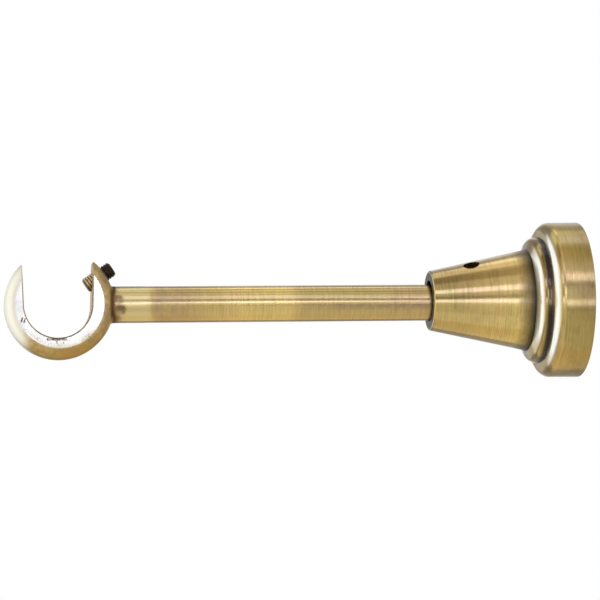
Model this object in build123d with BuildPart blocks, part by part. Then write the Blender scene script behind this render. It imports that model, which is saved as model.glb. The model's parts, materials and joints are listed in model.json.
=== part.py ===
from build123d import *
import os
from math import cos, hypot, radians, sin, tan

# Curtain pole bracket: an open hook on a round rod, with a conical cover over the wall plate.
# Millimetres. The wall is the plane Y = 0, the rod reaches into the room along -Y, the pole lies
# along X and +Z is up. The origin is the centre of the wall plate, on the wall.

TOLERANCE = 0.001  # for choosing edges by their place
HEXAGON_SIDES = 6

# Pole and hook
POLE_DIAMETER = 16.0
POLE_CLEARANCE = 0.5  # radial gap between the pole and the slot
PROJECTION = 134.0  # wall to the centre of the pole
HOOK_WALL = 5.25  # slot to the outside of the ring, below the pole
SLOT_OFFSET = 0.4  # pole's centre beyond the ring's, for a thicker wall round the pole screw
HOOK_WIDTH = 11.5  # along the pole
HOOK_EDGE_RADIUS = 3.0  # round on the outer edges of the ring
HOOK_EDGE_BREAK = 0.3  # chamfer along the slot
SLOT_FLARE = 2.0  # degrees that each straight wall of the slot leans outwards
SEAT_STAND_OFF = 0.15  # end of the rod seat beyond the ring
SEAT_FILLET = 1.0  # braze fillet between the ring and the rod seat

# Rod
ROD_DIAMETER = 9.3
ROD_EDGE_BREAK = 0.4
SPIGOT_DIAMETER = 6.0  # turned end of the rod, brazed into the hook
SPIGOT_LENGTH = 3.2
SPIGOT_CLEARANCE = 0.05

# Grub screws
GRUB_DIAMETER = 4.0
GRUB_CLEARANCE = 0.05  # radial gap in the tapped holes
GRUB_EDGE_BREAK = 0.45
GRUB_SOCKET = 2.0  # across the flats
GRUB_SOCKET_DEPTH = 1.8
POLE_SCREW_LENGTH = 8.0
POLE_SCREW_ANGLE = 33.5  # degrees above the rod, on the wall side of the hook
POLE_SCREW_TIP_GAP = 0.1  # tip to the circle of the slot's round bottom
COVER_SCREW_LENGTH = 4.0
COVER_SCREW_SETBACK = 10.4  # behind the mouth of the cover
COVER_SCREW_TURN = 26.0  # degrees from straight up, towards +X
COVER_SCREW_TIP_GAP = 0.05  # tip to the rod

# Cover
COVER_DEPTH = 38.9  # wall to the mouth
COVER_WALL = 2.6
COVER_LIFT = 0.5  # the cover screw draws the cover off the rod's centre by this
ROD_BORE_CLEARANCE = 0.6  # radial gap between the rod and the bore of the cover
SOCKET_LENGTH = 18.0  # length of the bore
MOUTH_DIAMETER = 15.3
MOUTH_EDGE_RADIUS = 0.4
CONE_ANGLE = 12.1  # degrees from the axis
BEAD_FRONT = 13.7  # wall to the crevice between the cone and the bead
BEAD_LEAN = 1.1  # axial run of the bead's front
BEAD_DIAMETER = 32.4
BEAD_ROUND = 2.0
RIM_FRONT = 10.4  # wall to the crevice between the bead and the rim
RIM_LEAN = 0.7  # axial run of the rim's front
RIM_DIAMETER = 40.0  # at the wall
RIM_ROUND = 2.6
RIM_DRAFT = 0.5  # degrees
RIM_EDGE_RADIUS = 0.25

# Wall plate and the screw that holds the rod to it
PLATE_THICKNESS = 2.5
PLATE_GAP = 0.3  # plate to the cavity of the lifted cover
WALL_HOLE_SPACING = 22.0
WALL_HOLE_DIAMETER = 4.5
WALL_HOLE_SINK_DIAMETER = 8.0
SINK_ANGLE = 90.0
ROD_SCREW_DIAMETER = 5.0
ROD_SCREW_CLEARANCE = 0.1
ROD_SCREW_LENGTH = 12.0  # with its head
ROD_SCREW_HEAD_DIAMETER = 8.8
ROD_SCREW_HEAD_LAND = 0.3
ROD_SCREW_SOCKET = 3.0  # across the flats
ROD_SCREW_SOCKET_DEPTH = 1.7
ROD_SCREW_EDGE_BREAK = 0.5
ROD_TAP_SPARE = 1.5  # tapped hole beyond the end of its screw

# Worked out from the sizes above
slot_radius = POLE_DIAMETER / 2 + POLE_CLEARANCE
ring_radius = slot_radius + HOOK_WALL
rod_radius = ROD_DIAMETER / 2
ring_reach = PROJECTION - SLOT_OFFSET  # wall to the centre of the ring
seat_reach = ring_reach - ring_radius - SEAT_STAND_OFF  # wall to the rod's front shoulder
seat_depth = HOOK_WALL / 2  # of the rod seat into the ring, short of the slot
slot_top = ring_radius + HOOK_WALL  # clear above the tips of the hook
slot_top_half = slot_radius + slot_top * tan(radians(SLOT_FLARE))
bore_radius = rod_radius + ROD_BORE_CLEARANCE
bead_radius = BEAD_DIAMETER / 2
rim_front_radius = RIM_DIAMETER / 2 - RIM_FRONT * tan(radians(RIM_DRAFT))
cavity_radius = rim_front_radius - COVER_WALL
plate_radius = cavity_radius - COVER_LIFT - PLATE_GAP
rod_screw_radius = ROD_SCREW_DIAMETER / 2
rod_screw_head_radius = ROD_SCREW_HEAD_DIAMETER / 2
rod_screw_taper = (rod_screw_head_radius - rod_screw_radius) / tan(radians(SINK_ANGLE / 2))

pole_centre = Vector(0, -PROJECTION, 0)
ring_centre = Vector(0, -ring_reach, 0)
pole_screw_direction = Vector(0, cos(radians(POLE_SCREW_ANGLE)), sin(radians(POLE_SCREW_ANGLE)))
pole_screw_tip = pole_centre + pole_screw_direction * (slot_radius + POLE_SCREW_TIP_GAP)

cover_screw_direction = Vector(sin(radians(COVER_SCREW_TURN)), 0, cos(radians(COVER_SCREW_TURN)))
cover_centre = cover_screw_direction * COVER_LIFT
cover_screw_root = Vector(0, COVER_SCREW_SETBACK - COVER_DEPTH, 0)
cover_screw_tip = cover_screw_root + cover_screw_direction * (rod_radius + COVER_SCREW_TIP_GAP)

# Planes whose normals point out of the plate's back, its front and the rod's front shoulder
wall_side = Plane(origin=(0, 0, 0), z_dir=(0, 1, 0))
plate_front = Plane.XZ.offset(PLATE_THICKNESS)
rod_seat = Plane.XZ.offset(seat_reach)
# Section of the cover: local x runs out along the cover screw and local y along +Y
cover_section = Plane(
    origin=cover_centre,
    x_dir=cover_screw_direction,
    z_dir=cover_screw_direction.cross(Vector(0, 1, 0)),
)


def cone_radius(reach):
    """Outer radius of the cover's cone at a distance from the wall."""
    return MOUTH_DIAMETER / 2 + (COVER_DEPTH - reach) * tan(radians(CONE_ANGLE))


def on_slot(edge):
    """Whether an edge of the hook's sides runs along the slot, and not round the outside."""
    return (edge @ 0.5 - ring_centre).length < ring_radius - HOOK_EDGE_RADIUS - TOLERANCE


def on_rod_seat(edge):
    """Whether an edge is where the round rod seat runs into the ring."""
    middle = edge @ 0.5
    on_round = abs(hypot(middle.X, middle.Z) - rod_radius) < TOLERANCE
    return on_round and middle.Y < -seat_reach - TOLERANCE


def grub_screw(tip, direction, length):
    """A headless screw from its flat tip outwards, with a hexagon socket in its outer end."""
    with BuildPart() as screw:
        with BuildSketch(Plane(origin=tip, z_dir=direction)):
            Circle(GRUB_DIAMETER / 2)
        extrude(amount=length)
        chamfer(screw.edges().filter_by(GeomType.CIRCLE), GRUB_EDGE_BREAK)
        with BuildSketch(Plane(origin=tip + direction * length, z_dir=direction)):
            RegularPolygon(GRUB_SOCKET / 2, HEXAGON_SIDES, major_radius=False)
        extrude(amount=-GRUB_SOCKET_DEPTH, mode=Mode.SUBTRACT)
    return screw


# Hook: a disc with rounded edges, slotted from above for the pole, with a seat for the rod
with BuildPart() as hook:
    with BuildSketch(Plane.XZ.offset(ring_reach)) as ring_section:
        with Locations((0, ring_radius / 2)):
            Rectangle(HOOK_WIDTH, ring_radius)
        fillet(ring_section.vertices().group_by(Axis.Y)[-1], HOOK_EDGE_RADIUS)
    revolve(axis=Axis(ring_centre, (1, 0, 0)))

    with BuildSketch(Plane.YZ):
        with Locations((-PROJECTION, 0)):
            Circle(slot_radius)
            Polygon(
                (-slot_radius, 0),
                (slot_radius, 0),
                (slot_top_half, slot_top),
                (-slot_top_half, slot_top),
                align=None,
            )
    extrude(amount=HOOK_WIDTH, both=True, mode=Mode.SUBTRACT)
    side_faces = hook.faces().filter_by(Axis.X)
    chamfer(side_faces.edges().filter_by(on_slot), HOOK_EDGE_BREAK)

    with BuildSketch(rod_seat):
        Circle(rod_radius)
    extrude(amount=seat_depth)
    fillet(hook.edges().filter_by(GeomType.BSPLINE).filter_by(on_rod_seat), SEAT_FILLET)
    with Locations(Plane(origin=rod_seat.origin, z_dir=(0, 1, 0))):
        Hole(SPIGOT_DIAMETER / 2 + SPIGOT_CLEARANCE, depth=SPIGOT_LENGTH + SPIGOT_CLEARANCE)

    with BuildSketch(Plane(origin=pole_centre, z_dir=pole_screw_direction)):
        Circle(GRUB_DIAMETER / 2 + GRUB_CLEARANCE)
    extrude(amount=slot_top, mode=Mode.SUBTRACT)

# Rod: a plain bar with a spigot for the hook and a tapped hole for the plate's screw
with BuildPart() as rod:
    with BuildSketch(plate_front):
        Circle(rod_radius)
    extrude(amount=seat_reach - PLATE_THICKNESS)
    chamfer(rod.faces().sort_by(Axis.Y)[-1].edges(), ROD_EDGE_BREAK)
    with BuildSketch(rod_seat):
        Circle(SPIGOT_DIAMETER / 2)
    extrude(amount=SPIGOT_LENGTH)
    with Locations(Plane(origin=plate_front.origin, z_dir=(0, 1, 0))):
        Hole(
            rod_screw_radius + ROD_SCREW_CLEARANCE,
            depth=ROD_SCREW_LENGTH - PLATE_THICKNESS + ROD_TAP_SPARE,
        )

# Wall plate: a disc with two wall holes sunk from the front and one for the rod from the back
with BuildPart() as wall_plate:
    with BuildSketch(Plane.XZ):
        Circle(plate_radius)
    extrude(amount=PLATE_THICKNESS)
    with Locations(plate_front):
        with GridLocations(0, WALL_HOLE_SPACING, 1, 2):
            CounterSinkHole(
                WALL_HOLE_DIAMETER / 2,
                WALL_HOLE_SINK_DIAMETER / 2,
                depth=PLATE_THICKNESS,
                counter_sink_angle=SINK_ANGLE,
            )
    with Locations(wall_side):
        CounterSinkHole(
            rod_screw_radius + ROD_SCREW_CLEARANCE,
            rod_screw_head_radius + ROD_SCREW_CLEARANCE + ROD_SCREW_HEAD_LAND,
            depth=PLATE_THICKNESS,
            counter_sink_angle=SINK_ANGLE,
        )

# Rod screw: a countersunk screw with its head flush with the back of the plate
with BuildPart() as rod_screw:
    with BuildSketch(Plane.XY):
        Polygon(
            (0, 0),
            (rod_screw_head_radius, 0),
            (rod_screw_head_radius, -ROD_SCREW_HEAD_LAND),
            (rod_screw_radius, -ROD_SCREW_HEAD_LAND - rod_screw_taper),
            (rod_screw_radius, -ROD_SCREW_LENGTH),
            (0, -ROD_SCREW_LENGTH),
            align=None,
        )
    revolve(axis=Axis.Y)
    chamfer(rod_screw.faces().sort_by(Axis.Y)[0].edges(), ROD_SCREW_EDGE_BREAK)
    with BuildSketch(wall_side):
        RegularPolygon(ROD_SCREW_SOCKET / 2, HEXAGON_SIDES, major_radius=False)
    extrude(amount=-ROD_SCREW_SOCKET_DEPTH, mode=Mode.SUBTRACT)

# Rose cover: a cast cone, bead and rim of one wall, with a bore that slides on the rod
with BuildPart() as rose_cover:
    cone_wall = COVER_WALL / cos(radians(CONE_ANGLE))
    cavity_floor = RIM_FRONT - COVER_WALL
    bead_floor = BEAD_FRONT - COVER_WALL
    socket_back = COVER_DEPTH - SOCKET_LENGTH
    mouth_corner = (MOUTH_DIAMETER / 2, -COVER_DEPTH)
    bead_corner = (bead_radius, BEAD_LEAN - BEAD_FRONT)
    rim_corner = (rim_front_radius, RIM_LEAN - RIM_FRONT)
    wall_corner = (RIM_DIAMETER / 2, 0)
    with BuildSketch(cover_section) as cover_profile:
        Polygon(
            (bore_radius, -COVER_DEPTH),
            mouth_corner,
            (cone_radius(BEAD_FRONT), -BEAD_FRONT),
            bead_corner,
            (bead_radius, -RIM_FRONT),
            rim_corner,
            wall_corner,
            (cavity_radius, 0),
            (cavity_radius, -cavity_floor),
            (bead_radius - COVER_WALL, -cavity_floor),
            (bead_radius - COVER_WALL, -bead_floor),
            (cone_radius(bead_floor) - cone_wall, -bead_floor),
            (cone_radius(socket_back) - cone_wall, -socket_back),
            (bore_radius, -socket_back),
            align=None,
        )
        for corner, radius in (
            (mouth_corner, MOUTH_EDGE_RADIUS),
            (bead_corner, BEAD_ROUND),
            (rim_corner, RIM_ROUND),
            (wall_corner, RIM_EDGE_RADIUS),
        ):
            fillet(cover_profile.vertices().sort_by_distance((*corner, 0))[0], radius)
    revolve(axis=Axis(cover_centre, (0, 1, 0)))
    with BuildSketch(Plane(origin=cover_screw_root, z_dir=cover_screw_direction)):
        Circle(GRUB_DIAMETER / 2 + GRUB_CLEARANCE)
    extrude(amount=cone_radius(BEAD_FRONT), mode=Mode.SUBTRACT)

pole_screw = grub_screw(pole_screw_tip, pole_screw_direction, POLE_SCREW_LENGTH)
cover_screw = grub_screw(cover_screw_tip, cover_screw_direction, COVER_SCREW_LENGTH)

pieces = {
    "wall_plate": wall_plate,
    "rod_screw": rod_screw,
    "rod": rod,
    "hook": hook,
    "pole_screw": pole_screw,
    "rose_cover": rose_cover,
    "cover_screw": cover_screw,
}
os.makedirs("parts", exist_ok=True)
for name, piece in pieces.items():
    piece.part.label = name
    export_step(piece.part, f"parts/{name}.step")
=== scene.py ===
"""Looks of a curtain pole bracket in brushed antique brass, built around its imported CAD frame.

Lengths are metres in the CAD frame: the wall is Y = 0, the rod reaches along -Y and +Z is up.
Inside the materials lengths are millimetres, so that a pattern's size reads as it would on the part.
"""

import json
from collections import namedtuple
from math import cos, pi, radians, sin

import bpy
from mathutils import Matrix, Vector


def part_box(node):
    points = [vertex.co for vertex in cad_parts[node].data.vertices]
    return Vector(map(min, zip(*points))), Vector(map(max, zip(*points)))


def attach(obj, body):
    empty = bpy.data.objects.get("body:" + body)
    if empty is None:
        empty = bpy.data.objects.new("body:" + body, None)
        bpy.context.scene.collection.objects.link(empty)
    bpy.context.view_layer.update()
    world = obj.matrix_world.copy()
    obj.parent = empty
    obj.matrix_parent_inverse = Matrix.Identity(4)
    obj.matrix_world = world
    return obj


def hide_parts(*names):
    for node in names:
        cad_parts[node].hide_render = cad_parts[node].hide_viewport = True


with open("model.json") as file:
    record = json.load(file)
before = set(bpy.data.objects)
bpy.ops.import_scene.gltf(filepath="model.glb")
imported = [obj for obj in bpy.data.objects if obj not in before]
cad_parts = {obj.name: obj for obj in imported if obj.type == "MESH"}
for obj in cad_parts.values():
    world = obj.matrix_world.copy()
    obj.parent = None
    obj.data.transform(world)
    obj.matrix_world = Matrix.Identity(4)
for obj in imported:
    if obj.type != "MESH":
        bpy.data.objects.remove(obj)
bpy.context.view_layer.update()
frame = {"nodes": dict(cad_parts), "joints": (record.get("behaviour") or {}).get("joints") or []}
nodes = frame["nodes"]
joint_axes = {joint["name"]: Vector(joint["axis"]) for joint in frame["joints"]}

MM = 0.001

# Camera: the photograph's frame, its perspective and its viewing angle
PHOTO_SIZE = 600  # pixels
FOCAL_LENGTH = 2480  # pixels
CAMERA_DISTANCE = 0.63265
CAMERA_AZIMUTH = radians(82)
CAMERA_ELEVATION = radians(-4)
CAMERA_ROLL = radians(0.95)  # turns the picture anticlockwise
CAMERA_AIM = Vector((0, -0.0723, 0.0009))
SENSOR_WIDTH = 36  # millimetres

# Shape of the grub screws
SCREW_DIAMETER = 0.004
THREAD_PITCH = 0.0007
THREAD_DEPTH = 0.0002
THREAD_CREST = 0.14  # share of half a pitch
THREAD_ROOT = 0.22  # share of half a pitch
SCREW_EDGE_BREAK = 0.00045
SOCKET_WIDTH = 0.002  # across the flats
SOCKET_DEPTH = 0.0018
SCREW_STEPS = 72  # round the screw
PITCH_STEPS = 18  # along one pitch
POLE_SCREW_LENGTH = 0.008
COVER_SCREW_LENGTH = 0.004
SHARP_ANGLE = radians(35)

# Metal colours, linear
# Smooth gold, also a painted highlight beside the hook
SMOOTH_HIGHLIGHT_GOLD = (0.63, 0.49, 0.20, 1)
GREEN_GOLD = (0.495, 0.362, 0.108, 1)
ROSE_GOLD = (0.515, 0.352, 0.118, 1)
# Pale brass for painted highlights
PALE_HIGHLIGHT_BRASS = (0.81, 0.78, 0.61, 1)
PINK_BRASS = (0.70, 0.55, 0.38, 1)
CREAM_BRASS = (0.44, 0.36, 0.21, 1)
# Worn brass with a painted highlight
WORN_HIGHLIGHT_BRASS = (0.72, 0.665, 0.48, 1)
# The screw's worn crest and groove colours also paint light on its tip
LIT_WORN_CREST = (0.56, 0.44, 0.22, 1)
LIT_WORN_GROOVE = (0.20, 0.13, 0.06, 1)
HEAT_BROWN = (0.33, 0.21, 0.10, 1)
# Painted shade under the hook
AMBER_SHADE_BROWN = (0.46, 0.255, 0.055, 1)
BRAZE_BROWN = (0.115, 0.046, 0.016, 1)
GREY_BRASS = (0.10, 0.09, 0.06, 1)
UMBER = (0.12, 0.08, 0.05, 1)
STROKE_BROWN = (0.10, 0.045, 0.03, 1)
SOOT = (0.03, 0.025, 0.013, 1)
# Patina that also paints the shade behind the bead
BEAD_SOOT_AND_SHADE = (0.035, 0.022, 0.011, 1)
# Blackened steel that also paints shade on the screw's outer end
BLACKENED_AND_SHADED = (0.06, 0.038, 0.024, 1)
ZINC_COOL = (0.63, 0.635, 0.645, 1)
ZINC_WARM = (0.70, 0.70, 0.68, 1)

# The materials are made of patterns and ramps. A pattern is its scale for each millimetre, its detail and
# its roughness. A ramp is a start and an end, with the low and the high value where these aren't 0 and 1.
# A ramp's name ends in what it runs over: X, Y, Z or RADIUS is a place and OFF a distance, in millimetres,
# LEVEL is the level of a pattern, and TILT is 0 level with the axis and 1 straight above or below it.
BUMP_DEPTH = 0.02 * MM

# Brushed brass. Brushing blurs a reflection across its lines more than along them.
BRUSHED = {"Anisotropic": 0.3, "Anisotropic Rotation": 0.25, "Coat Roughness": 0.06, "Coat IOR": 1.5}
LACQUER = 0.7  # weight of the clear coat
BRUSH_PATTERN = (2.6, 3.0, 0.7)
BRUSH_LEVEL = (0.3, 0.7)
BRUSH_STRETCH = 0.06  # size of the brush pattern across its lines for its size along them
BRUSH_BUMP = 0.02
LIGHTEST_LINE = 1.12  # shade of a line, where 1 is the brass's own colour
DARKEST_LINE = 0.88  # outside the dark patches
COVER_PATCH_LINE = 0.66  # darkest line in the dark patches of the cover
ROD_PATCH_LINE = 0.78  # darkest line in the dark patches of the rod
PATCH_PATTERN = (0.16, 3.0, 0.5)
PATCH_LEVEL = (0.42, 0.62)
TINT_PATTERN = (0.09, 2.0, 0.5)
TINT_LEVEL = (0.38, 0.62)

# Rose cover, from its mouth to the wall. Distances are from the bead's crevice towards the mouth.
MOUTH_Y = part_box("rose_cover")[0].y / MM
MOUTH_FACE_Y = (MOUTH_Y + 0.3, MOUTH_Y + 0.1)
MOUTH_FACE_RADIUS = (7.4, 7.1)
BRIGHT_CONE_Y = (MOUTH_Y + 8.0, MOUTH_Y + 17.0, 0.0, 0.22)
BEAD_CREVICE_Y = -13.7
CONE_Y = (BEAD_CREVICE_Y, BEAD_CREVICE_Y - 0.1)
CONE_STAIN_PATTERN = (0.35, 4.0, 0.6)
CONE_STAIN_REACH = 4.2
CONE_STAIN_LEVEL = (0.3, 0.7, CONE_STAIN_REACH * 1.15, CONE_STAIN_REACH * 0.85)
CONE_STAIN_CURVE = 1.2
PAST_CREVICE_OFF = (0.03, -0.1)
BEAD_OFF = (0.0, -0.1)
BEAD_CREST_Y = -12.0
# Painted highlight on the front of the bead, strongest level with the axis
BEAD_HIGHLIGHT_Y = (BEAD_CREST_Y - 0.1, BEAD_CREST_Y - 0.9)
BEAD_HIGHLIGHT_TILT = (0.9, 0.55)
# Patina and painted shade on the back of the bead, lighter level with the axis as a painted reflection
BEAD_BACK_Y = (BEAD_CREST_Y - 0.3, BEAD_CREST_Y + 1.0)
BEAD_BACK_TILT = (0.02, 0.3, 0.7, 1.0)
RIM_CREVICE_Y = -10.4
BEFORE_RIM_Y = (RIM_CREVICE_Y + 0.06, RIM_CREVICE_Y)
RIM_RADIUS = 20.0
# Painted highlight on the front of the rim, strongest level with the axis
RIM_HIGHLIGHT_RADIUS = (RIM_RADIUS - 0.2, RIM_RADIUS - 1.2)
RIM_HIGHLIGHT_TILT = (1.0, 0.7)
WALL_SHADE_Y = (RIM_CREVICE_Y + 2.0, 0.0, 1.0, 0.82)
COVER_ROUGHNESS_Y = (RIM_CREVICE_Y, RIM_CREVICE_Y + 2.0, 0.20, 0.24)
DULL_ROUGHNESS = 0.2  # added where the cover is dull
BEAD_BACK_DULLNESS = 0.4
RIM_BARENESS = 0.6  # share of the lacquer that is worn off the rim

# Rod and its brazed seam, which follows the rounded edges of the hook. Distances are from the seam.
ROD_RADIUS = 4.65
SEAM_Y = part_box("hook")[1].y / MM
SEAM_BEND_X = 2.75  # where the hook's edge begins to round off
SEAM_SETBACK = 0.6
ROD_PATTERN = (0.7, 5.0, 0.6)
ROD_MIDDLE_Y = -74.0
PALE_START_Y = (ROD_MIDDLE_Y - 22.0, ROD_MIDDLE_Y - 14.0, 1.0, 1.2)
PALE_END_Y = (ROD_MIDDLE_Y - 2.0, ROD_MIDDLE_Y + 2.0, 1.05, 0.8)
# Painted shade: a dark band round the rod just below its bright line, towards the rose
SHADE_BAND_Y = (ROD_MIDDLE_Y, ROD_MIDDLE_Y + 14.0)
SHADE_BAND_TOP_Z = (0.2, -0.5)
SHADE_BAND_FOOT_Z = (-2.6, -1.2)
SHADE_BAND_LEVEL = (0.3, 0.6, 0.3, 0.7)
SMOOTH_END_OFF = (10.5, 8.0)
HEAT_START_OFF = (9.0, 11.5)
HEAT_END_OFF = (24.0, 17.0)
HEAT_LEVEL = (0.3, 0.65, 0.25, 0.55)
SEAM_STAIN_Z = (1.0, -2.0, 1.5, 3.2)
SEAM_STAIN_LEVEL = (0.3, 0.7, 0.6, 1.3)
SEAM_STAIN_CURVE = 1.4
BRAZE_PATCH_X = (0.0, 1.0)
BRAZE_PATCH_LEVEL = (0.25, 0.6, 0.4, 0.85)
BRUSHED_ROUGHNESS = 0.2
SMOOTH_ROUGHNESS = 0.17
SEAM_STAIN_ROUGHNESS = 0.08  # added where the rod is stained
BARE_STAIN = (0.5, 1.0)  # shares of stain over which the lacquer comes off

# Hook. Distances are from the wall of the slot where no other thing is named.
POLE_Y = -134.0
SLOT_RADIUS = 8.5
HOOK_SIDE_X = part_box("hook")[1].x / MM
SIDE_X = (HOOK_SIDE_X - 0.05, HOOK_SIDE_X - 0.005)
FLAT_X = (HOOK_SIDE_X - 0.03, HOOK_SIDE_X - 0.005)
FRONT_Y = (POLE_Y - 6.0, POLE_Y - 9.5)
CAST_PATTERN = (0.9, 4.0, 0.6)
CAST_SHADE_LEVEL = (0.3, 0.7, 0.78, 1.15)
CAST_BUMP = 0.1
CAST_ROUGHNESS = 0.42
FLAT_ROUGHNESS = 0.16
HOOK_TINT_PATTERN = (0.16, 2.0, 0.5)
HOOK_TINT_LEVEL = (0.4, 0.6)
BLUSH_PATTERN = (0.22, 3.0, 0.5)
BLUSH_LEVEL = (0.45, 0.65, 0.0, 0.5)
# Painted shade in amber on the underside of the hook
SHADED_UNDERSIDE_Y = (POLE_Y - 4.0, POLE_Y + 2.0)
SHADED_UNDERSIDE_Z = (-7.0, -12.5)
SHADED_UNDERSIDE_LEVEL = (0.35, 0.65, 0.35, 0.85)
CREAM_LEVEL = (0.5, 0.68, 0.0, 0.2)
SLOT_WALL_OFF = (0.25, 0.1, 0.0, 0.35)
LOW_SIDE_Z = (-3.0, -8.0, 0.15, 1.0)
TARNISH_OFF = (0.5, 3.5)
TARNISH_LEVEL = (0.35, 0.6, 0.35, 0.9)
SPECK_PATTERN = (1.5, 4.0, 0.75)
SPECK_LEVEL = (0.58, 0.66, 0.0, 0.8)
SLOT_LINE_OFF = (0.5, 0.2)
SLOT_LINE_X = (HOOK_SIDE_X - 0.4, HOOK_SIDE_X - 0.28)
SLOT_LINE_Y = (POLE_Y - 8.0, POLE_Y - 4.0, 0.3, 1.0)
SLOT_LINE_LEVEL = (0.3, 0.6, 0.35, 0.9)
SCREW_AXIS = joint_axes["pole_screw_travel"]
SCREW_MIDDLE = (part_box("pole_screw")[0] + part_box("pole_screw")[1]) / 2 / MM
# Grime and painted shadow round the tapped hole
GRIME_SHADOW_SCREW_OFF = (7.5, 2.3, 0.0, 0.85)
GRIME_SHADOW_SLOT_OFF = (1.0, 2.5)
GRIME_SHADOW_Y = (POLE_Y, POLE_Y + 3.0)
ROD_SEAT_RADIUS = (ROD_RADIUS + 2.0, ROD_RADIUS + 0.3)
BRAZE_SEAM_OFF = (-1.1, -0.1)
BRAZE_SHARE = 0.95
PAST_SEAM_OFF = (-0.1, 0.9, 0.0, 0.35)
BRAZE_ROUGHNESS = 0.2  # added where the hook is brazed
STROKE_X = (0.0, HOOK_SIDE_X - 0.3)
STROKE_LEVEL = (0.35, 0.6, 0.4, 1.0)
STROKE_CORE = 0.4  # share of a stroke's width that has its full colour

# Rubbed marks on the hook's side: first and last place along Y and Z and half their width, in millimetres
HOOK_STROKES = (
    ((-143.2, -4.5), (-142.9, -3.5), 0.3),
    ((-142.5, -4.6), (-142.2, -3.8), 0.3),
    ((-136.6, -8.9), (-132.2, -8.9), 0.5),
    ((-134.6, -9.1), (-134.4, -9.8), 0.35),
)

# Patches of braze stain on the rod, in the same form
BRAZE_PATCHES = (
    ((SEAM_Y - 0.5, 1.2), (SEAM_Y + 0.8, 1.0), 1.8),
    ((SEAM_Y - 0.5, -1.0), (SEAM_Y + 1.5, -1.5), 1.8),
)

# Finish of the grub screws: blackened, and worn to bright brass from the tip, where the bright tip also
# paints light and the black shank also paints shade. Heights are from the tip.
GRIME_PATTERN = (1.2, 4.0, 0.6)
POLE_SCREW_LIT_WORN_TO = 3.0
COVER_SCREW_LIT_WORN_TO = -2.0  # below the tip, so none of it is worn
WEAR_LIGHT_SWAY = 1.5  # how far the grime moves the edge of the wear
WEAR_LIGHT_EDGE = (1.6, 0.2)  # above the height that the screw is worn to
CREST_RADIUS = (1.80, 1.94)
GROOVE_BLACKENED = 0.4  # share of the crests' colour in the grooves, where the rest is soot
BLACK_ROUGHNESS = 0.45
WORN_ROUGHNESS = 0.35
SCREW_BUMP = 0.2

# Zinc-plated steel
SPANGLE_PATTERN = (0.45, 3.0, 0.5)
SPANGLE_LEVEL = (0.35, 0.65)
ZINC_GRAIN_PATTERN = (4.0, 4.0, 0.7)
ZINC_ROUGHNESS_LEVEL = (0.2, 0.8, 0.34, 0.48)
ZINC_BUMP = 0.2

# Floor
FLOOR_HEIGHT = -1.1
FLOOR_REACH = 4.0  # from its middle to each edge
PAPER_PATTERN = (0.02, 3.0, 0.5)
PAPER_LEVEL = (0.3, 0.7)
PAPER_GREY = (0.88, 0.88, 0.88, 1)
PAPER_WHITE = (0.91, 0.91, 0.90, 1)
PAPER_ROUGHNESS = 0.9

# Studio: stretches of light and shade bent round the rod, which only the metal sees
STUDIO_RADIUS = 1.0
STRIP_STEP = radians(2)
WHITE = (1.0, 1.0, 1.0)
COOL = (0.95, 1.0, 1.6)
CREAM = (1.0, 1.05, 1.25)
WARM = (1.08, 0.98, 0.8)
# Strips as first angle in degrees, light and its colour. 0 is the camera's side, 90 is up; each
# strip ends where the next begins.
CONE_STRIPS = (
    (120, 0.3, WHITE),
    (165, 0.6, WHITE),
    (195, 0.3, WHITE),
    (230, 0.8, WARM),
    (280, 1.0, WHITE),
    (315, 0.8, WHITE),
    (350, 2.5, COOL),
    (360, 0.05, WHITE),
    (370, 0.6, WHITE),
    (382, 2.5, COOL),
    (395, 0.7, WHITE),
    (420, 0.35, WARM),
    (450, 1.2, WHITE),
    (463, 1.0, WHITE),
)
HOOK_STRIPS = (
    (120, 0.4, WHITE),
    (230, 0.8, WARM),
    (280, 1.0, WHITE),
    (340, 1.2, CREAM),
    (384, 0.8, WHITE),
    (420, 0.35, WARM),
    (450, 1.25, WHITE),
    (463, 1.0, WHITE),
)
ROD_END_STRIPS = (
    (120, 0.4, WHITE),
    (230, 0.8, WARM),
    (280, 0.8, WHITE),
    (312, 0.45, WHITE),
    (340, 1.0, CREAM),
    (350, 2.2, CREAM),
    (362, 0.7, CREAM),
    (377, 0.75, WHITE),
    (393, 1.4, WHITE),
    (412, 1.15, WHITE),
    (430, 0.9, WHITE),
    (455, 1.1, WHITE),
)
ROD_STRIPS = (
    (120, 0.5, WHITE),
    (140, 0.8, WHITE),
    (195, 0.4, WHITE),
    (230, 0.9, WARM),
    (280, 0.95, WHITE),
    (344, 0.5, WHITE),
    (352, 1.3, WHITE),
    (361, 3.6, COOL),
    (376, 0.35, WHITE),
    (389, 1.5, COOL),
    (412, 0.7, WHITE),
    (420, 1.2, WHITE),
    (431, 0.6, WHITE),
    (440, 1.2, WHITE),
    (454, 0.6, WHITE),
    (466, 1.7, WHITE),
)
RIM_STRIPS = (
    (120, 0.5, WHITE),
    (140, 0.8, WHITE),
    (195, 0.4, WHITE),
    (230, 0.75, WARM),
    (280, 0.72, WHITE),
    (325, 0.6, WHITE),
    (340, 0.2, WHITE),
    (348, 2.9, COOL),
    (356, 0.2, WHITE),
    (372, 0.2, WHITE),
    (384, 2.9, COOL),
    (395, 0.7, WHITE),
    (420, 0.55, WARM),
    (448, 1.2, COOL),
    (464, 1.0, WHITE),
)
# Name, first and last place along Y in metres, strips
STRETCHES = (
    ("cone", -0.55, -0.18, CONE_STRIPS),
    ("hook", -0.18, -0.08, HOOK_STRIPS),
    ("rod_end", -0.08, -0.035, ROD_END_STRIPS),
    ("rod", -0.035, 0.155, ROD_STRIPS),
    ("rim", 0.155, 1.6, RIM_STRIPS),
)
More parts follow.
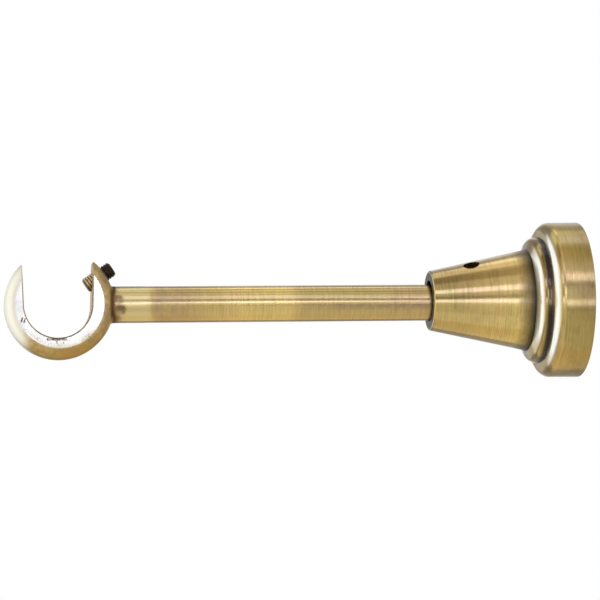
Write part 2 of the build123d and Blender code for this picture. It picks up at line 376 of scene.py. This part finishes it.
# Name, lowest and highest corner of an upright panel in metres, light and its colour
PANELS = (
    ("side_softbox", (-0.1, -0.56, -0.5), (0.5, -0.56, 0.5), 1.45, CREAM),
    ("side_fill", (-1.0, -0.56, -0.5), (-0.1, -0.56, 0.5), 1.15, CREAM),
    ("side_shade_top", (-1.0, -0.56, 0.5), (1.0, -0.56, 1.0), 0.5, WARM),
    ("side_shade_low", (-1.0, -0.56, -1.0), (1.0, -0.56, -0.5), 0.55, WARM),
    ("wall_side_card", (-1.0, 1.2, -1.0), (1.0, 1.2, 1.0), 0.7, WHITE),
)


class Shader:
    """One material's nodes. A call that adds nodes returns the last one's output socket."""

    def __init__(self, name):
        self.material = bpy.data.materials.new(name)
        self.material.use_nodes = True
        self.tree = self.material.node_tree
        self.surface = self.tree.nodes["Principled BSDF"]

    def put(self, socket, value):
        """Links a socket to an output, or gives it a constant."""
        if isinstance(value, bpy.types.NodeSocket):
            self.tree.links.new(value, socket)
        else:
            socket.default_value = value

    def add(self, kind, inputs, output=0, **settings):
        """Adds a node with its inputs and settings and returns one of its outputs."""
        node = self.tree.nodes.new("ShaderNode" + kind)
        for name, value in settings.items():
            setattr(node, name, value)
        for name, value in inputs.items():
            self.put(node.inputs[name], value)
        return node.outputs[output]

    def math(self, operation, first, second=0.0):
        return self.add("Math", {0: first, 1: second}, operation=operation)

    def plus(self, first, second):
        return self.math("ADD", first, second)

    def minus(self, first, second):
        return self.math("SUBTRACT", first, second)

    def product(self, first, *others):
        for other in others:
            first = self.math("MULTIPLY", first, other)
        return first

    def largest(self, first, *others):
        for other in others:
            first = self.math("MAXIMUM", first, other)
        return first

    def clamp(self, value):
        """Keeps a value between 0 and 1."""
        return self.add("Clamp", {"Value": value})

    def ramp(self, value, start, end, low=0.0, high=1.0, curve="SMOOTHSTEP"):
        """Goes from low at start to high at end, smoothly where no other curve is given."""
        inputs = {"Value": value, "From Min": start, "From Max": end, "To Min": low, "To Max": high}
        return self.add("MapRange", inputs, interpolation_type=curve)

    def mix(self, factor, first, second):
        """Blends two colours."""
        return self.add("Mix", {0: factor, 6: first, 7: second}, 2, data_type="RGBA")

    def noise(self, vector, scale, detail, roughness):
        inputs = {"Vector": vector, "Scale": scale, "Detail": detail, "Roughness": roughness}
        return self.add("TexNoise", inputs)

    def vector(self, operation, first, second, output=0):
        return self.add("VectorMath", {0: first, 1: second}, output, operation=operation)

    def length(self, vector):
        return self.vector("LENGTH", vector, (0, 0, 0), output=1)

    def scale(self, vector, factor):
        return self.add("VectorMath", {0: vector, "Scale": factor}, operation="SCALE")

    def split(self, vector):
        node = self.tree.nodes.new("ShaderNodeSeparateXYZ")
        self.put(node.inputs[0], vector)
        return node.outputs[0], node.outputs[1], node.outputs[2]

    def join(self, x, y, z):
        return self.add("CombineXYZ", {0: x, 1: y, 2: z})

    def place(self):
        """Position on the piece in millimetres."""
        return self.scale(self.tree.nodes.new("ShaderNodeTexCoord").outputs["Object"], 1 / MM)

    def finish(self, colour, roughness, height, bump, constants):
        """Joins the nodes to the metal's surface; constants go on the shader's own sockets."""
        self.put(self.surface.inputs["Base Color"], colour)
        self.put(self.surface.inputs["Roughness"], roughness)
        normal = self.add("Bump", {"Height": height, "Strength": bump, "Distance": BUMP_DEPTH})
        self.put(self.surface.inputs["Normal"], normal)
        self.surface.inputs["Metallic"].default_value = 1.0
        for name, value in constants.items():
            self.surface.inputs[name].default_value = value
        return self.material


# A place on a turned piece, with X and Z measured from the piece's axis
Spot = namedtuple("Spot", "place x y z radius")


def turned_spot(shader, centre_x, centre_z):
    """The place on a piece that is turned about an axis along Y."""
    place = shader.place()
    x, y, z = shader.split(place)
    x = shader.minus(x, centre_x)
    z = shader.minus(z, centre_z)
    return Spot(place, x, y, z, shader.length(shader.join(x, 0.0, z)))


def brushed_colour(shader, spot, patch_line):
    """Brass with fine lines round its axis, darkest in patches. Returns its colour and the lines."""
    streaks = shader.join(
        shader.product(spot.x, BRUSH_STRETCH),
        shader.plus(spot.y, spot.radius),
        shader.product(spot.z, BRUSH_STRETCH),
    )
    lines = shader.noise(streaks, *BRUSH_PATTERN)
    tint = shader.ramp(shader.noise(spot.place, *TINT_PATTERN), *TINT_LEVEL)
    patches = shader.ramp(shader.noise(spot.place, *PATCH_PATTERN), *PATCH_LEVEL)
    darkest = shader.ramp(patches, 0.0, 1.0, DARKEST_LINE, patch_line)
    shade = shader.ramp(lines, *BRUSH_LEVEL, darkest, LIGHTEST_LINE, curve="LINEAR")
    return shader.scale(shader.mix(tint, GREEN_GOLD, ROSE_GOLD), shade), lines


def brushed_finish(shader, colour, roughness, lines, lacquer):
    """Brushed metal under clear lacquer, whose weight may change over the piece."""
    shader.put(shader.surface.inputs["Coat Weight"], lacquer)
    tangent = shader.add("Tangent", {}, direction_type="RADIAL", axis="Y")
    shader.put(shader.surface.inputs["Tangent"], tangent)
    return shader.finish(colour, roughness, lines, BRUSH_BUMP, BRUSHED)


def clean_cone(shader, place, before_bead):
    """Share of the cover that is free of the dark stain on the cone beside the bead."""
    reach = shader.ramp(shader.noise(place, *CONE_STAIN_PATTERN), *CONE_STAIN_LEVEL)
    clean = shader.clamp(shader.math("DIVIDE", before_bead, reach))
    clean = shader.math("POWER", clean, CONE_STAIN_CURVE)
    return shader.largest(clean, shader.ramp(before_bead, *PAST_CREVICE_OFF))


def cover_brass(name):
    """Brushed brass that darkens into the crevices beside the bead, partly as painted shade, and towards the
    wall as painted shade, and is painted pale as highlights on the fronts of the bead and the rim.
    """
    shader = Shader(name)
    low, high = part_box("rose_cover")
    centre = (low + high) / 2 / MM
    spot = turned_spot(shader, centre.x, centre.z)
    y = spot.y
    tilt = shader.math("DIVIDE", shader.math("ABSOLUTE", spot.z), spot.radius)
    before_bead = shader.minus(BEAD_CREVICE_Y, y)
    before_rim = shader.ramp(y, *BEFORE_RIM_Y)
    rim = shader.minus(1.0, before_rim)

    colour, lines = brushed_colour(shader, spot, COVER_PATCH_LINE)
    bright = shader.product(shader.ramp(y, *CONE_Y), shader.ramp(y, *BRIGHT_CONE_Y))
    colour = shader.scale(colour, shader.plus(bright, 1.0))
    clean = clean_cone(shader, spot.place, before_bead)
    colour = shader.mix(clean, SOOT, colour)

    # Painted highlights: the fronts of the bead and the rim turn pale, most on the sides level with the axis
    bead_highlight = shader.product(
        shader.ramp(before_bead, *BEAD_OFF),
        shader.ramp(y, *BEAD_HIGHLIGHT_Y),
        shader.ramp(tilt, *BEAD_HIGHLIGHT_TILT),
    )
    rim_highlight = shader.product(
        rim,
        shader.ramp(spot.radius, *RIM_HIGHLIGHT_RADIUS),
        shader.ramp(tilt, *RIM_HIGHLIGHT_TILT),
    )
    colour = shader.mix(shader.largest(bead_highlight, rim_highlight), colour, PALE_HIGHLIGHT_BRASS)
    # Patina with painted shade on the back of the bead; level with the axis it is lighter, a painted
    # reflection
    bead_back = shader.product(
        shader.ramp(y, *BEAD_BACK_Y),
        before_rim,
        shader.ramp(tilt, *BEAD_BACK_TILT),
    )
    colour = shader.mix(bead_back, colour, BEAD_SOOT_AND_SHADE)
    colour = shader.scale(colour, shader.ramp(y, *WALL_SHADE_Y))
    mouth = shader.product(shader.ramp(y, *MOUTH_FACE_Y), shader.ramp(spot.radius, *MOUTH_FACE_RADIUS))
    colour = shader.mix(mouth, colour, GREY_BRASS)

    dull = shader.largest(
        shader.minus(1.0, clean),
        shader.product(bead_back, BEAD_BACK_DULLNESS),
        mouth,
    )
    roughness = shader.plus(shader.ramp(y, *COVER_ROUGHNESS_Y), shader.product(dull, DULL_ROUGHNESS))
    bare = shader.largest(dull, shader.product(rim, RIM_BARENESS))
    lacquer = shader.product(shader.minus(1.0, bare), LACQUER)
    return brushed_finish(shader, colour, roughness, lines, lacquer)


def from_braze(shader, x, y):
    """Distance along Y from the brazed seam, which grows towards the wall."""
    across = shader.math("ABSOLUTE", x)
    seam = shader.ramp(across, SEAM_BEND_X, ROD_RADIUS, SEAM_Y, SEAM_Y - SEAM_SETBACK)
    return shader.minus(y, seam)


def near_stroke(shader, y, z, start, end, width):
    """How near a place is to a straight stroke between two places, seen along X."""
    run = Vector((*end, 0)) - Vector((*start, 0))
    from_start = shader.join(shader.minus(y, start[0]), shader.minus(z, start[1]), 0.0)
    along = shader.vector("DOT_PRODUCT", from_start, run / run.length_squared, output=1)
    foot = shader.scale(run, shader.clamp(along))
    distance = shader.vector("DISTANCE", from_start, foot, output=1)
    return shader.ramp(distance, width, width * STROKE_CORE)


def rod_stain(shader, spot, from_seam, breakup):
    """Share of braze stain on the rod: all round beside the seam, and in patches on one side."""
    reach = shader.product(
        shader.ramp(spot.z, *SEAM_STAIN_Z),
        shader.ramp(breakup, *SEAM_STAIN_LEVEL),
    )
    clean = shader.clamp(shader.math("DIVIDE", from_seam, reach))
    stain = shader.math("POWER", shader.minus(1.0, clean), SEAM_STAIN_CURVE)
    for patch in BRAZE_PATCHES:
        mark = shader.product(
            near_stroke(shader, spot.y, spot.z, *patch),
            shader.ramp(spot.x, *BRAZE_PATCH_X),
            shader.ramp(breakup, *BRAZE_PATCH_LEVEL),
        )
        stain = shader.largest(stain, mark)
    return stain


def rod_brass(name):
    """Brushed brass, smoother beside the hook and painted lighter there as a highlight, stained by the heat
    of the braze, and with a band of painted shade below its bright line.
    """
    shader = Shader(name)
    spot = turned_spot(shader, 0.0, 0.0)
    breakup = shader.noise(spot.place, *ROD_PATTERN)
    from_seam = from_braze(shader, spot.x, spot.y)

    colour, lines = brushed_colour(shader, spot, ROD_PATCH_LINE)
    colour = shader.scale(colour, shader.ramp(spot.y, *PALE_START_Y))
    colour = shader.scale(colour, shader.ramp(spot.y, *PALE_END_Y))
    # Painted shade: a dark band just below the rod's bright line, towards the rose
    shade_band = shader.product(
        shader.ramp(spot.z, *SHADE_BAND_TOP_Z),
        shader.ramp(spot.z, *SHADE_BAND_FOOT_Z),
        shader.ramp(spot.y, *SHADE_BAND_Y),
        shader.ramp(breakup, *SHADE_BAND_LEVEL),
    )
    colour = shader.mix(shade_band, colour, HEAT_BROWN)
    # Smoother beside the hook, and painted lighter there as a highlight
    smooth = shader.ramp(from_seam, *SMOOTH_END_OFF)
    colour = shader.mix(smooth, colour, SMOOTH_HIGHLIGHT_GOLD)
    heated = shader.product(
        shader.ramp(from_seam, *HEAT_START_OFF),
        shader.ramp(from_seam, *HEAT_END_OFF),
        shader.ramp(breakup, *HEAT_LEVEL),
    )
    colour = shader.mix(heated, colour, HEAT_BROWN)
    stain = rod_stain(shader, spot, from_seam, breakup)
    colour = shader.mix(stain, colour, BRAZE_BROWN)

    roughness = shader.ramp(smooth, 0.0, 1.0, BRUSHED_ROUGHNESS, SMOOTH_ROUGHNESS)
    roughness = shader.plus(roughness, shader.product(stain, SEAM_STAIN_ROUGHNESS))
    lacquer = shader.ramp(stain, *BARE_STAIN, LACQUER, 0.0)
    return brushed_finish(shader, colour, roughness, lines, lacquer)


def slot_distance(shader, y, z):
    """Distance from the wall of the slot, which is round below the pole's middle and upright above."""
    below_pole = shader.math("MINIMUM", z, 0.0)
    from_pole = shader.join(shader.minus(y, POLE_Y), below_pole, 0.0)
    return shader.minus(shader.length(from_pole), SLOT_RADIUS)


def cast_colour(shader, place, y, z, cast, blush):
    """Mottled cast brass, browner in patches, with painted shade in amber underneath."""
    tint = shader.ramp(shader.noise(place, *HOOK_TINT_PATTERN), *HOOK_TINT_LEVEL)
    colour = shader.mix(tint, GREEN_GOLD, ROSE_GOLD)
    colour = shader.scale(colour, shader.ramp(cast, *CAST_SHADE_LEVEL))
    colour = shader.mix(shader.ramp(blush, *BLUSH_LEVEL), colour, HEAT_BROWN)
    # Painted shade: amber on the underside
    shaded_underside = shader.product(
        shader.ramp(z, *SHADED_UNDERSIDE_Z),
        shader.ramp(y, *SHADED_UNDERSIDE_Y),
        shader.ramp(cast, *SHADED_UNDERSIDE_LEVEL),
    )
    return shader.mix(shaded_underside, colour, AMBER_SHADE_BROWN)


def screw_grime_and_shadow(shader, place, y, from_slot):
    """Share of grime and painted shadow round the tapped hole, on the outside of its arm."""
    from_screw = shader.vector("SUBTRACT", place, SCREW_MIDDLE)
    off_screw = shader.length(shader.vector("CROSS_PRODUCT", from_screw, SCREW_AXIS))
    return shader.product(
        shader.ramp(off_screw, *GRIME_SHADOW_SCREW_OFF),
        shader.ramp(from_slot, *GRIME_SHADOW_SLOT_OFF),
        shader.ramp(y, *GRIME_SHADOW_Y),
    )


def hook_brass(name):
    """Cast brass with dark specks and a dark line along the slot; its polished sides and worn front are
    painted pale as a highlight.
    """
    shader = Shader(name)
    place = shader.place()
    x, y, z = shader.split(place)
    across = shader.math("ABSOLUTE", x)
    from_slot = slot_distance(shader, y, z)
    cast = shader.noise(place, *CAST_PATTERN)
    blush = shader.noise(place, *BLUSH_PATTERN)
    specks = shader.noise(place, *SPECK_PATTERN)
    side = shader.ramp(across, *SIDE_X)
    flat = shader.ramp(across, *FLAT_X)
    front = shader.ramp(y, *FRONT_Y)

    colour = cast_colour(shader, place, y, z, cast, blush)
    # Painted highlights: the worn front and the polished sides are painted pale
    colour = shader.mix(front, colour, WORN_HIGHLIGHT_BRASS)
    pale = shader.mix(shader.ramp(blush, *CREAM_LEVEL), PALE_HIGHLIGHT_BRASS, CREAM_BRASS)
    colour = shader.mix(side, colour, pale)
    colour = shader.mix(shader.ramp(from_slot, *SLOT_WALL_OFF), colour, PINK_BRASS)
    low_side = shader.product(side, shader.ramp(z, *LOW_SIDE_Z))
    tarnish = shader.product(
        low_side,
        shader.ramp(blush, *TARNISH_LEVEL),
        shader.ramp(from_slot, *TARNISH_OFF),
    )
    colour = shader.mix(tarnish, colour, CREAM_BRASS)
    dots = shader.product(low_side, shader.ramp(specks, *SPECK_LEVEL))
    colour = shader.mix(dots, colour, UMBER)
    slot_line = shader.product(
        shader.ramp(from_slot, *SLOT_LINE_OFF),
        shader.ramp(across, *SLOT_LINE_X),
        shader.ramp(cast, *SLOT_LINE_LEVEL),
        shader.ramp(y, *SLOT_LINE_Y),
    )
    colour = shader.mix(slot_line, colour, UMBER)
    # Grime with a painted shadow round the pole screw's hole
    grime = shader.product(screw_grime_and_shadow(shader, place, y, from_slot), shader.minus(1.0, flat))
    colour = shader.mix(grime, colour, UMBER)

    from_seam = from_braze(shader, x, y)
    from_axis = shader.length(shader.join(x, 0.0, z))
    seat = shader.ramp(from_axis, *ROD_SEAT_RADIUS)
    braze = shader.product(seat, shader.ramp(from_seam, *BRAZE_SEAM_OFF))
    colour = shader.mix(shader.product(braze, BRAZE_SHARE), colour, BRAZE_BROWN)
    # The rod's smooth gold, also a painted highlight, runs on past the seam onto the hook
    past_seam = shader.product(seat, shader.ramp(from_seam, *PAST_SEAM_OFF))
    colour = shader.mix(past_seam, colour, SMOOTH_HIGHLIGHT_GOLD)
    for stroke in HOOK_STROKES:
        mark = shader.product(
            near_stroke(shader, y, z, *stroke),
            shader.ramp(x, *STROKE_X),
            shader.ramp(specks, *STROKE_LEVEL),
        )
        colour = shader.mix(mark, colour, STROKE_BROWN)

    roughness = shader.ramp(flat, 0.0, 1.0, CAST_ROUGHNESS, FLAT_ROUGHNESS)
    roughness = shader.plus(roughness, shader.product(braze, BRAZE_ROUGHNESS))
    roughness = shader.largest(roughness, shader.product(front, CAST_ROUGHNESS))
    return shader.finish(colour, roughness, cast, CAST_BUMP, {})


def screw_brass(name, lit_worn_to):
    """Blackened screw, worn to bright brass on its crests from the tip up to a height; the bright tip also
    paints light and the black shank paints shade.
    """
    shader = Shader(name)
    place = shader.place()
    x, y, z = shader.split(place)
    radius = shader.length(shader.join(x, y, 0.0))
    grime = shader.noise(place, *GRIME_PATTERN)
    first, last = WEAR_LIGHT_EDGE
    height = shader.plus(z, shader.product(grime, WEAR_LIGHT_SWAY))
    # Worn and painted light up from the tip; blackened and painted shade above it
    worn = shader.ramp(height, lit_worn_to + first, lit_worn_to + last)
    crest = shader.ramp(radius, *CREST_RADIUS)
    tip = shader.mix(crest, LIT_WORN_GROOVE, LIT_WORN_CREST)
    shank = shader.mix(shader.ramp(crest, 0.0, 1.0, GROOVE_BLACKENED, 1.0), SOOT, BLACKENED_AND_SHADED)
    colour = shader.mix(worn, shank, tip)
    roughness = shader.ramp(worn, 0.0, 1.0, BLACK_ROUGHNESS, WORN_ROUGHNESS)
    return shader.finish(colour, roughness, grime, SCREW_BUMP, {})


def zinc(name):
    """Zinc-plated steel with a faint spangle."""
    shader = Shader(name)
    place = shader.place()
    spangle = shader.ramp(shader.noise(place, *SPANGLE_PATTERN), *SPANGLE_LEVEL)
    grain = shader.noise(place, *ZINC_GRAIN_PATTERN)
    colour = shader.mix(spangle, ZINC_COOL, ZINC_WARM)
    roughness = shader.ramp(grain, *ZINC_ROUGHNESS_LEVEL)
    return shader.finish(colour, roughness, grain, ZINC_BUMP, {})


def thread_radius(height, turn):
    """Radius of the thread at a height along the screw and a turn about it."""
    phase = (height / THREAD_PITCH - turn / (2 * pi)) % 1.0
    from_crest = abs(2 * phase - 1)
    slope = (from_crest - THREAD_CREST) / (1 - THREAD_CREST - THREAD_ROOT)
    return SCREW_DIAMETER / 2 - THREAD_DEPTH * min(max(slope, 0.0), 1.0)


def hexagon_radius(turn):
    """Distance from the middle of the hexagon socket to its wall."""
    off_flat = (turn + pi / 6) % (pi / 3) - pi / 6
    return SOCKET_WIDTH / 2 / cos(off_flat)


def screw_rings(length):
    """Turns round the screw, and rings of (radius, height) from the tip face to the bottom of the socket."""
    turns = [2 * pi * step / SCREW_STEPS for step in range(SCREW_STEPS)]
    end_radius = SCREW_DIAMETER / 2 - SCREW_EDGE_BREAK
    count = round(length / THREAD_PITCH * PITCH_STEPS)
    rings = []
    for step in range(count + 1):
        height = length * step / count
        chamfer = end_radius + min(height, length - height)
        rings.append([(min(thread_radius(height, turn), chamfer), height) for turn in turns])
    rings.append([(hexagon_radius(turn), length) for turn in turns])
    rings.append([(hexagon_radius(turn), length - SOCKET_DEPTH) for turn in turns])
    return turns, rings


def screw_mesh(name, length, material):
    """Mesh of a grub screw that stands on its tip, with the socket on top."""
    turns, rings = screw_rings(length)
    points = [(0, 0, 0), (0, 0, length - SOCKET_DEPTH)]
    tip_middle = 0
    socket_middle = 1
    first_ring = len(points)
    for ring in rings:
        points += [(r * cos(turn), r * sin(turn), height) for turn, (r, height) in zip(turns, ring)]
    last_ring = len(points) - SCREW_STEPS
    faces = []
    for step in range(SCREW_STEPS):
        following = (step + 1) % SCREW_STEPS
        faces.append((tip_middle, first_ring + following, first_ring + step))
        for low in range(first_ring, last_ring, SCREW_STEPS):
            high = low + SCREW_STEPS
            faces.append((low + step, low + following, high + following, high + step))
        faces.append((socket_middle, last_ring + step, last_ring + following))
    mesh = bpy.data.meshes.new(name)
    mesh.from_pydata(points, [], faces)
    mesh.shade_smooth()
    mesh.set_sharp_from_angle(angle=SHARP_ANGLE)
    mesh.materials.append(material)
    return mesh


def add_object(name, data):
    """Puts a mesh or a camera into the scene."""
    thing = bpy.data.objects.new(name, data)
    bpy.context.scene.collection.objects.link(thing)
    return thing


def threaded_screw(name, node, axis, length, body, material):
    """A grub screw with a real thread that stands for a CAD screw."""
    screw = add_object(name, screw_mesh(name, length, material))
    low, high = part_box(node)
    tip = (low + high) / 2 - axis * (length / 2)
    screw.matrix_world = Matrix.Translation(tip) @ axis.to_track_quat("Z", "Y").to_matrix().to_4x4()
    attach(screw, body)
    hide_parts(node)


def dress(node, material):
    """Gives a CAD node its finished material."""
    nodes[node].material_slots[0].material = material


def glow(name, level, colour):
    """An even light of that level and colour."""
    material = bpy.data.materials.new(name)
    material.use_nodes = True
    tree = material.node_tree
    tree.nodes.clear()
    emission = tree.nodes.new("ShaderNodeEmission")
    emission.inputs["Color"].default_value = (*colour, 1)
    emission.inputs["Strength"].default_value = level
    output = tree.nodes.new("ShaderNodeOutputMaterial")
    tree.links.new(emission.outputs[0], output.inputs["Surface"])
    return material


def studio_panel(name, points, faces, level, colour):
    """A light or dark panel that shows only in reflections."""
    mesh = bpy.data.meshes.new(name)
    mesh.from_pydata(points, [], faces)
    mesh.materials.append(glow(name, level, colour))
    panel = add_object(name, mesh)
    panel.visible_camera = False
    panel.visible_diffuse = False
    panel.visible_shadow = False


def bent_strip(name, first_y, last_y, start, end, level, colour):
    """A strip between two angles round the rod."""
    count = max(1, round(radians(end - start) / STRIP_STEP))
    points = []
    for step in range(count + 1):
        angle = radians(start) + radians(end - start) * step / count
        points += [(STUDIO_RADIUS * cos(angle), y, STUDIO_RADIUS * sin(angle)) for y in (first_y, last_y)]
    faces = [(2 * k, 2 * k + 1, 2 * k + 3, 2 * k + 2) for k in range(count)]
    studio_panel(name, points, faces, level, colour)


def bent_stretch(name, first_y, last_y, strips):
    """All strips of a stretch, once round the rod."""
    ends = [start for start, level, colour in strips[1:]] + [strips[0][0] + 360]
    for (start, level, colour), end in zip(strips, ends):
        bent_strip(f"{name}_{start}", first_y, last_y, start, end, level, colour)


def upright_panel(name, low, high, level, colour):
    """A flat upright panel between two corners."""
    points = [
        low,
        (high[0], high[1], low[2]),
        high,
        (low[0], low[1], high[2]),
    ]
    studio_panel(name, points, [(0, 1, 2, 3)], level, colour)


def pale_floor():
    """A wide sheet of pale paper, far below the bracket."""
    shader = Shader("floor_paper")
    grain = shader.noise(shader.place(), *PAPER_PATTERN)
    colour = shader.mix(shader.ramp(grain, *PAPER_LEVEL), PAPER_GREY, PAPER_WHITE)
    shader.put(shader.surface.inputs["Base Color"], colour)
    shader.surface.inputs["Roughness"].default_value = PAPER_ROUGHNESS
    mesh = bpy.data.meshes.new("floor")
    reach = FLOOR_REACH
    corners = [(-reach, -reach, 0), (reach, -reach, 0), (reach, reach, 0), (-reach, reach, 0)]
    mesh.from_pydata(corners, [], [(0, 1, 2, 3)])
    mesh.materials.append(shader.material)
    floor = add_object("floor", mesh)
    floor.location.z = FLOOR_HEIGHT


def white_world():
    """Even white light all round."""
    world = bpy.data.worlds.new("white_studio")
    bpy.context.scene.world = world
    world.use_nodes = True
    background = world.node_tree.nodes["Background"]
    background.inputs["Color"].default_value = (1, 1, 1, 1)
    background.inputs["Strength"].default_value = 1.0


def photo_camera():
    """The camera at the photograph's viewing angle."""
    back = Vector((
        sin(CAMERA_AZIMUTH) * cos(CAMERA_ELEVATION),
        -cos(CAMERA_AZIMUTH) * cos(CAMERA_ELEVATION),
        sin(CAMERA_ELEVATION),
    ))
    level = Vector((cos(CAMERA_AZIMUTH), sin(CAMERA_AZIMUTH), 0))
    upright = back.cross(level)
    right = level * cos(CAMERA_ROLL) - upright * sin(CAMERA_ROLL)
    up = level * sin(CAMERA_ROLL) + upright * cos(CAMERA_ROLL)
    lens = bpy.data.cameras.new("photo_camera")
    lens.sensor_width = SENSOR_WIDTH
    lens.lens = SENSOR_WIDTH * FOCAL_LENGTH / PHOTO_SIZE
    camera = add_object("photo_camera", lens)
    turn = Matrix((right, up, back)).transposed().to_4x4()
    camera.matrix_world = Matrix.Translation(CAMERA_AIM + back * CAMERA_DISTANCE) @ turn
    bpy.context.scene.camera = camera


dress("rose_cover", cover_brass("cover_brass"))
dress("rod", rod_brass("rod_brass"))
dress("hook", hook_brass("hook_brass"))
plate_zinc = zinc("plate_zinc")
dress("wall_plate", plate_zinc)
dress("rod_screw", plate_zinc)
threaded_screw(
    "pole_screw_thread",
    "pole_screw",
    SCREW_AXIS,
    POLE_SCREW_LENGTH,
    "pole_grub",
    screw_brass("pole_screw_brass", POLE_SCREW_LIT_WORN_TO),
)
threaded_screw(
    "cover_screw_thread",
    "cover_screw",
    joint_axes["cover_screw_travel"],
    COVER_SCREW_LENGTH,
    "cover_grub",
    screw_brass("cover_screw_brass", COVER_SCREW_LIT_WORN_TO),
)
for stretch in STRETCHES:
    bent_stretch(*stretch)
for panel in PANELS:
    upright_panel(*panel)
pale_floor()
white_world()
bpy.context.scene.view_settings.view_transform = "Standard"
photo_camera()
